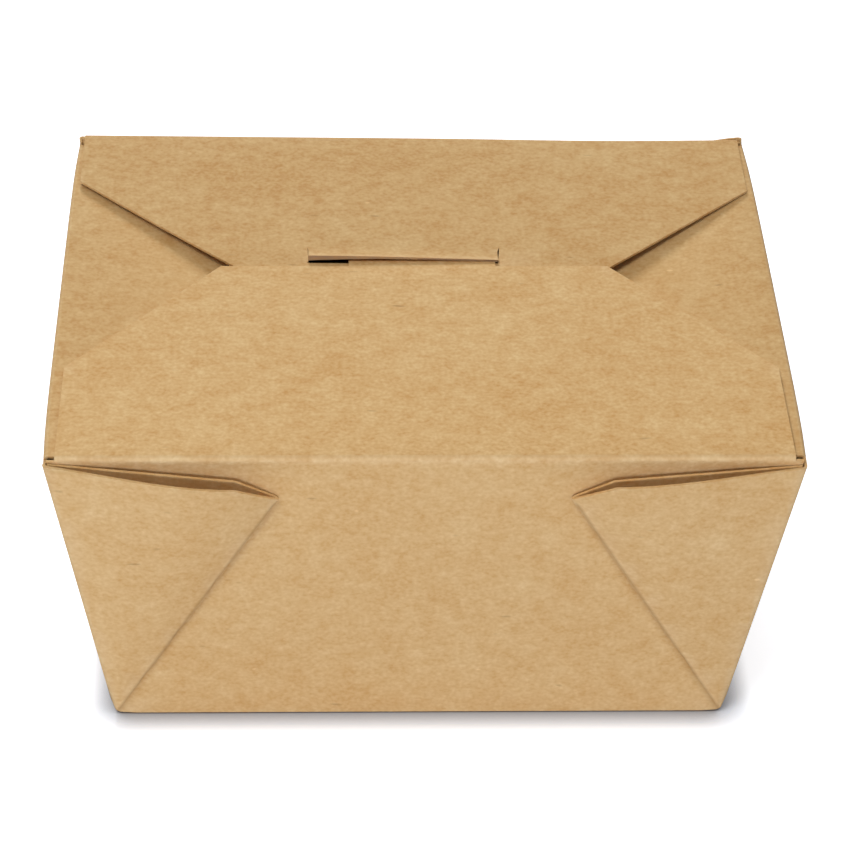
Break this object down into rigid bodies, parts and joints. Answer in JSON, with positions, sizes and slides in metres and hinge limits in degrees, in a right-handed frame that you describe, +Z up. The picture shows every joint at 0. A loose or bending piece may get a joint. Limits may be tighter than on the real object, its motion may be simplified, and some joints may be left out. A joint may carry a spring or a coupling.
{
  "type": "takeaway box",
  "caption": "Folded kraft card food box with webbed corners, side flaps, a slit back flap and a front lid flap whose tongue locks in the slit.",
  "frame": {"origin": "centre of the base's underside, on the surface that the box stands on", "axes": "+X along the long front edge to the right, +Y from the front with the lid flap's crease to the back, +Z up"},
  "size_m": [0.1298, 0.1078, 0.0644],
  "materials": {
    "kraft_card": "uncoated brown kraft board, matte, with fine fibres and flecks"
  },
  "bodies": {
    "carton": {"carton": "kraft_card"},
    "front_flap": {"front_flap": "kraft_card"}
  },
  "joints": [
    {"name": "front_flap_crease", "type": "hinge", "parent": "carton", "child": "front_flap", "pos_m": [0, -0.05265, 0.064], "axis": [1, 0, 0], "range_deg": [0, 175]}
  ]
}
